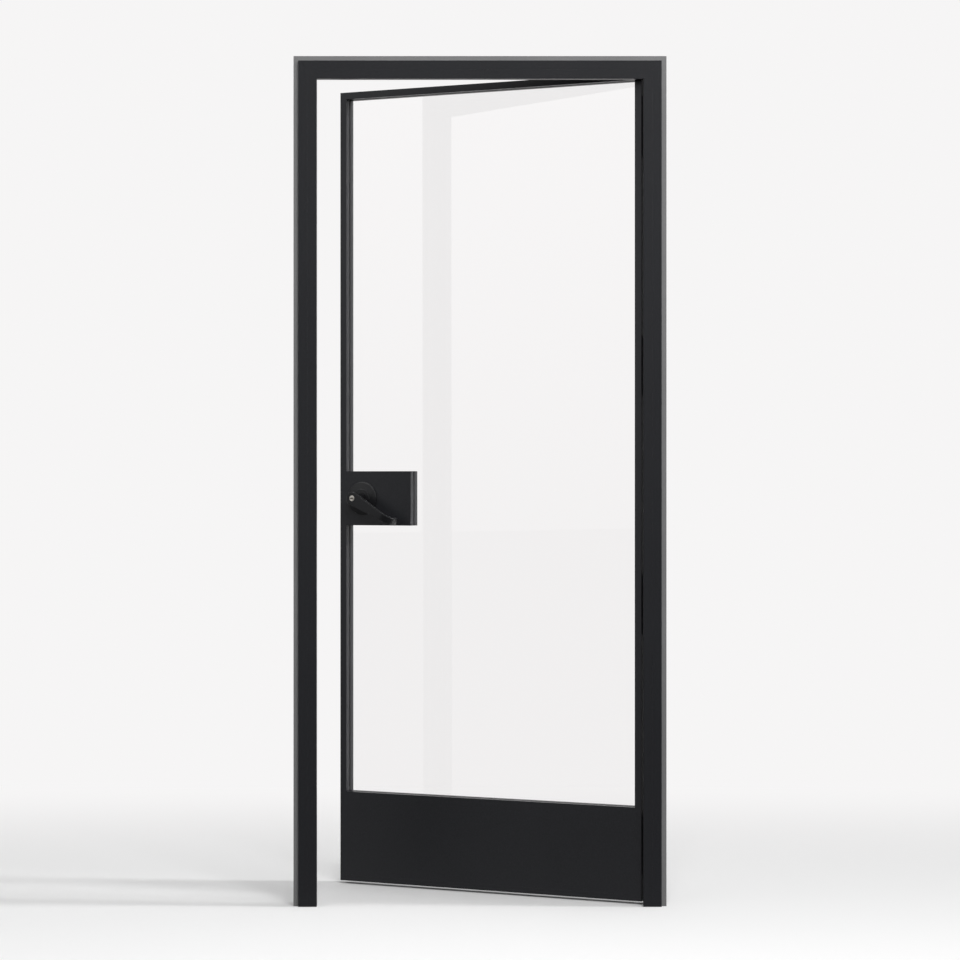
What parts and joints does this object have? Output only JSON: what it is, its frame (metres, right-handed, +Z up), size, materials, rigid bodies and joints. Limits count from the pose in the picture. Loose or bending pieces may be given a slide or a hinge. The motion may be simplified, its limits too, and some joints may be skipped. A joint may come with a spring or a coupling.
{
  "type": "swing door",
  "caption": "Slim framed glass swing door, half open in its jambs and head, with butt hinges, a tall bottom rail, a lock box and a key-in-lever latch.",
  "frame": {"origin": "on the floor midway between the jambs, in the plane of the frame's front face", "axes": "+X to the right towards the hinges as the viewer sees it, +Y away from the viewer through the doorway, +Z up"},
  "size_m": [0.9994, 0.4935, 2.2779],
  "materials": {
    "black_frame": "satin black powder coat on aluminium",
    "grey_channel": "satin grey powder coat on aluminium",
    "black_trim": "satin black powder coat on steel",
    "black_steel": "satin black powder coat on steel",
    "nickel": "satin nickel",
    "bright_steel": "brushed steel",
    "zinc_steel": "zinc plated steel",
    "mill_aluminium": "mill finish aluminium",
    "clear_glass": "clear toughened glass",
    "gasket_rubber": "black glazing gasket",
    "seal_rubber": "black bulb seal",
    "setting_rubber": "black setting block"
  },
  "bodies": {
    "frame": {"frame_backing_plates": "zinc_steel", "frame_corner_keys": "mill_aluminium", "frame_hinge_screws": "black_steel", "head_channel": "grey_channel", "head_jamb": "black_frame", "head_seal": "seal_rubber", "head_stop": "black_frame", "hinge_1_frame_half": "black_steel", "hinge_1_pin": "black_steel", "hinge_2_frame_half": "black_steel", "hinge_2_pin": "black_steel", "hinge_3_frame_half": "black_steel", "hinge_3_pin": "black_steel", "hinge_4_frame_half": "black_steel", "hinge_4_pin": "black_steel", "hinge_jamb": "black_frame", "hinge_side_channel": "grey_channel", "hinge_side_seal": "seal_rubber", "hinge_side_stop": "black_frame", "strike_box": "zinc_steel", "strike_jamb": "black_frame", "strike_plate": "black_steel", "strike_screws": "black_steel", "strike_side_channel": "grey_channel", "strike_side_seal": "seal_rubber", "strike_side_stop": "black_frame"},
    "leaf": {"bottom_cap": "black_frame", "bottom_rail": "black_frame", "glass_pane": "clear_glass", "glazing_gasket_far": "gasket_rubber", "glazing_gasket_near": "gasket_rubber", "hinge_1_leaf_half": "black_steel", "hinge_2_leaf_half": "black_steel", "hinge_3_leaf_half": "black_steel", "hinge_4_leaf_half": "black_steel", "hinge_stile": "black_frame", "latch_case": "zinc_steel", "latch_faceplate": "black_steel", "latch_screws": "black_steel", "leaf_backing_plates": "zinc_steel", "leaf_corner_keys": "mill_aluminium", "leaf_hinge_screws": "black_steel", "lock_box": "black_frame", "lock_chassis": "zinc_steel", "lock_stile": "black_frame", "rose_inside": "black_trim", "rose_outside": "black_trim", "setting_blocks": "setting_rubber", "through_bolts": "zinc_steel", "tie_rods": "zinc_steel", "top_rail": "black_frame"},
    "levers": {"lever_outside": "black_trim", "lever_inside": "black_trim", "spindle": "bright_steel", "key_cylinder": "nickel"},
    "latch": {"latch_bolt": "bright_steel"},
    "key_barrel": {"key_plug": "nickel"},
    "turn_button": {"thumb_turn": "black_trim"}
  },
  "joints": [
    {"name": "leaf_swing", "type": "hinge", "parent": "frame", "child": "leaf", "pos_m": [0.45945, 0.08145, 0], "axis": [0, 0, -1], "range_deg": [-25, 75]},
    {"name": "lever_turn", "type": "hinge", "parent": "leaf", "child": "levers", "pos_m": [-0.33187, 0.38816, 1.0905], "axis": [0.4226, 0.9063, 0], "range_deg": [0, 45], "stiffness_Nm_per_rad": 2, "springref_deg": -28.65},
    {"name": "latch_slide", "type": "slide", "parent": "leaf", "child": "latch", "axis": [0.9063, -0.4226, 0], "range_m": [0, 0.0127]},
    {"name": "key_turn", "type": "hinge", "parent": "levers", "child": "key_barrel", "pos_m": [-0.33187, 0.38816, 1.0905], "axis": [0.4226, 0.9063, 0], "range_deg": [0, 90]},
    {"name": "button_turn", "type": "hinge", "parent": "levers", "child": "turn_button", "pos_m": [-0.33187, 0.38816, 1.0905], "axis": [0.4226, 0.9063, 0], "range_deg": [0, 90]}
  ],
  "couplings": [
    {"joint": "latch_slide", "follows": "lever_turn", "m_per_rad": 0.0161}
  ]
}
